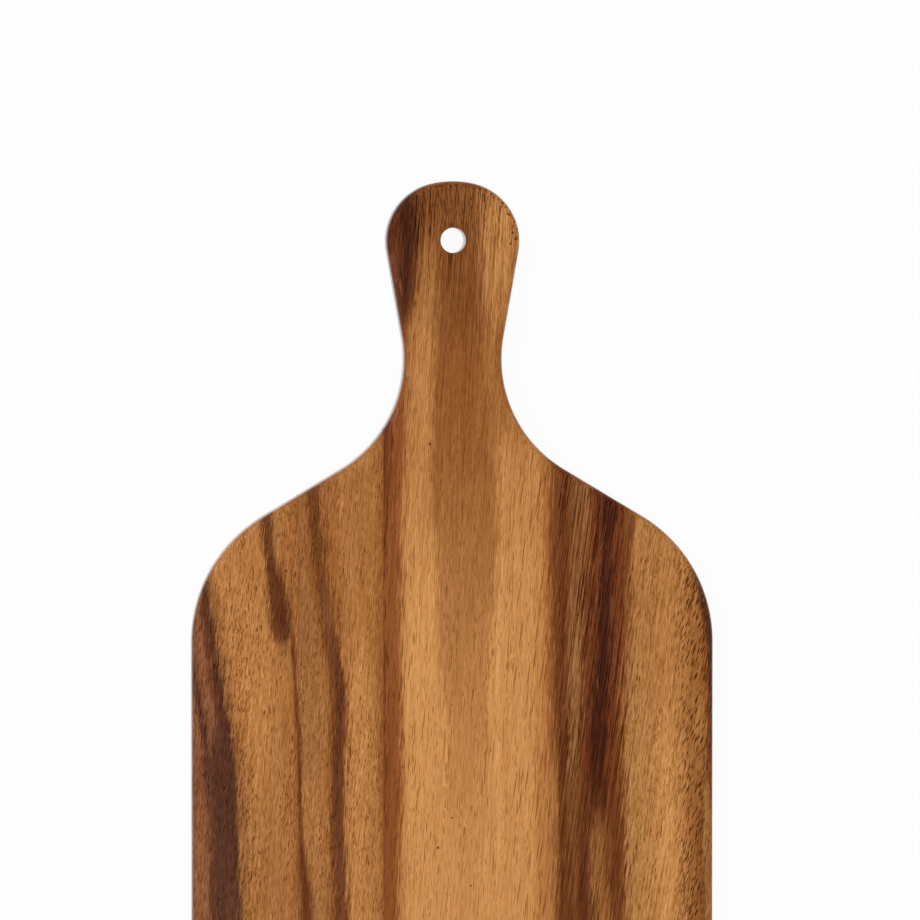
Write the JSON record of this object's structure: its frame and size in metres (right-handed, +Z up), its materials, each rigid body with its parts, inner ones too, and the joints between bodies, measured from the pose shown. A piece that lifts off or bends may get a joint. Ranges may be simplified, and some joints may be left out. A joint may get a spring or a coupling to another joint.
{
  "type": "paddle charcuterie board",
  "caption": "Flat wooden serving paddle of edge-glued staves, with a wide blade, sloping shoulders and a round handle drilled for hanging.",
  "frame": {"origin": "middle of the underside of the board, as it lies flat", "axes": "+Y along the board towards the handle, +X to the right seen from above with the handle away from the viewer, +Z up out of the serving face"},
  "size_m": [0.2032, 0.508, 0.015],
  "materials": {
    "left_edge_wood": "oiled acacia, golden brown with dark streaks",
    "left_inner_wood": "oiled acacia, golden with a dark band",
    "handle_wood": "oiled acacia, amber and brown",
    "right_inner_wood": "oiled acacia, dark red-brown heartwood",
    "right_edge_wood": "oiled acacia, olive tan",
    "glue": "cured wood glue"
  },
  "bodies": {
    "root": {"left_edge_stave": "left_edge_wood", "left_outer_glue_line": "glue", "left_inner_stave": "left_inner_wood", "left_inner_glue_line": "glue", "handle_stave": "handle_wood", "right_inner_glue_line": "glue", "right_inner_stave": "right_inner_wood", "right_outer_glue_line": "glue", "right_edge_stave": "right_edge_wood"}
  },
  "joints": []
}
